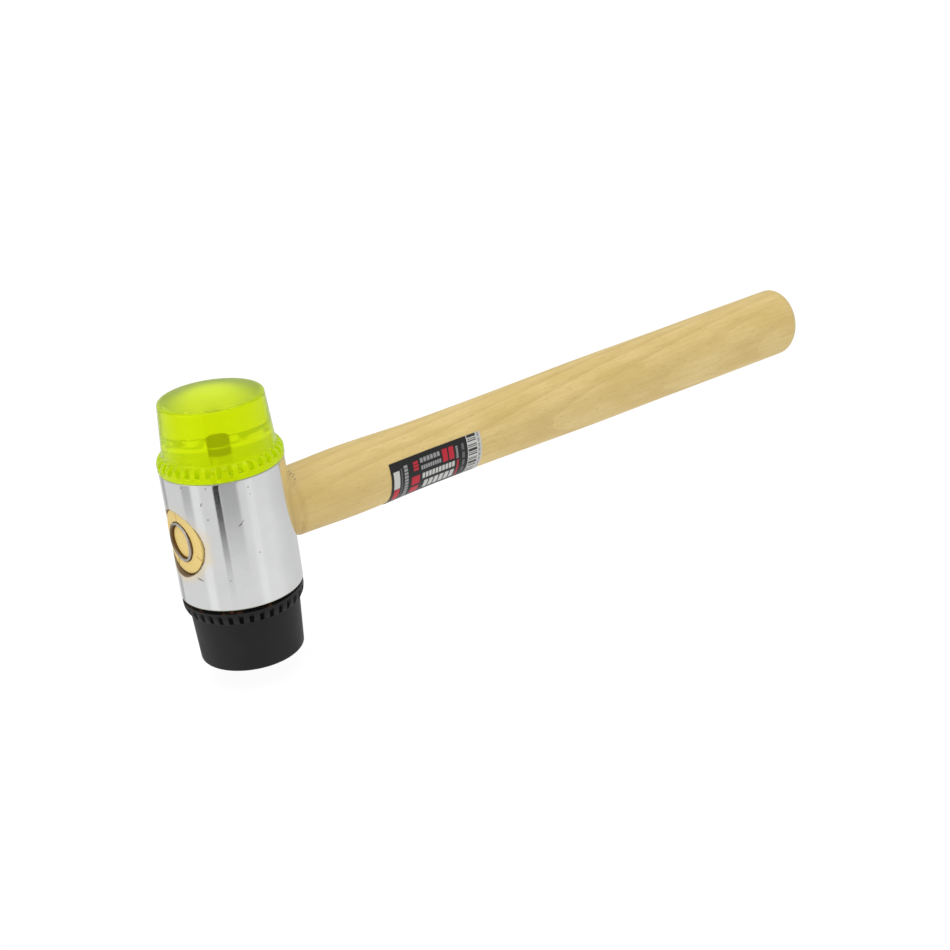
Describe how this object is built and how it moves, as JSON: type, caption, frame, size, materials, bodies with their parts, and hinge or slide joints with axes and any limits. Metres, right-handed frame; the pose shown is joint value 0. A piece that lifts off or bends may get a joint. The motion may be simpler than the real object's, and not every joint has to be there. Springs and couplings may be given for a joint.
{
  "type": "panel beating hammer",
  "caption": "Soft-faced panel beating hammer: chromed steel head on an oval wooden handle, with a screw-in clear plastic face and a screw-in black rubber face.",
  "frame": {"origin": "centre of the flat striking end of the black rubber face", "axes": "+Z along the head's axis, from the rubber face to the clear face; +X along the handle, away from the head"},
  "size_m": [0.3509, 0.0506, 0.1139],
  "materials": {
    "chrome": "polished chrome plate with light handling marks",
    "clear_plastic": "clear tinted plastic, glossy",
    "stud_steel": "plain steel thread",
    "rubber": "matt moulded rubber",
    "wood": "pale hardwood, sanded and lightly varnished",
    "wedge_steel": "dull steel with a worn rim",
    "label": "printed film sticker"
  },
  "bodies": {
    "head_and_handle": {"head_body": "chrome", "handle": "wood", "ring_wedge": "wedge_steel", "handle_label": "label"},
    "clear_stud": {"clear_face_stud": "stud_steel"},
    "clear_face": {"clear_face": "clear_plastic"},
    "rubber_stud": {"rubber_face_stud": "stud_steel"},
    "rubber_face": {"rubber_face": "rubber"}
  },
  "joints": [
    {"name": "clear_face_travel", "type": "slide", "parent": "head_and_handle", "child": "clear_stud", "axis": [0, 0, 1], "range_m": [0, 0.01]},
    {"name": "clear_face_turn", "type": "hinge", "parent": "clear_stud", "child": "clear_face", "pos_m": [0, 0, 0.0836], "axis": [0, 0, 1], "range_deg": [0, 3600]},
    {"name": "rubber_face_travel", "type": "slide", "parent": "head_and_handle", "child": "rubber_stud", "axis": [0, 0, -1], "range_m": [0, 0.01]},
    {"name": "rubber_face_turn", "type": "hinge", "parent": "rubber_stud", "child": "rubber_face", "pos_m": [0, 0, 0.029], "axis": [0, 0, -1], "range_deg": [0, 3600]}
  ],
  "couplings": [
    {"joint": "clear_face_travel", "follows": "clear_face_turn", "m_per_rad": 0.00015915},
    {"joint": "rubber_face_travel", "follows": "rubber_face_turn", "m_per_rad": 0.00015915}
  ]
}
